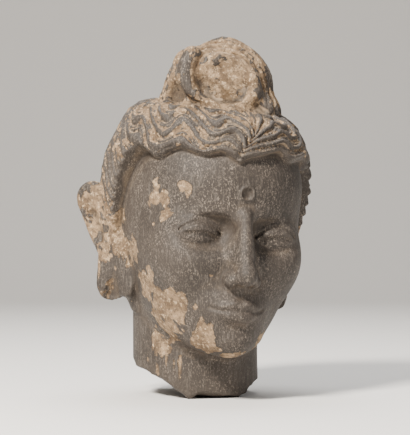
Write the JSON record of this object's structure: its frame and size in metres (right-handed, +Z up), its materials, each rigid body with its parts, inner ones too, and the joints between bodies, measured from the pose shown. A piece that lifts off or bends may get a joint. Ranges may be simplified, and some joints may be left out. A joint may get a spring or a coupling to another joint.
{
  "type": "stone buddha head",
  "caption": "Carved stone head of a buddha with a calm half-closed gaze, wavy hair drawn up to a topknot and long ears, broken off through the neck.",
  "frame": {"origin": "on the flat patch of the break that the head rests on, under the axis of the neck", "axes": "+Z up along the neck, the face looks along -Y, the figure's left ear is on +X"},
  "size_m": [0.2023, 0.202, 0.2933],
  "materials": {
    "schist": "worn dark grey schist with buff crust"
  },
  "bodies": {
    "root": {"buddha_head": "schist"}
  },
  "joints": []
}
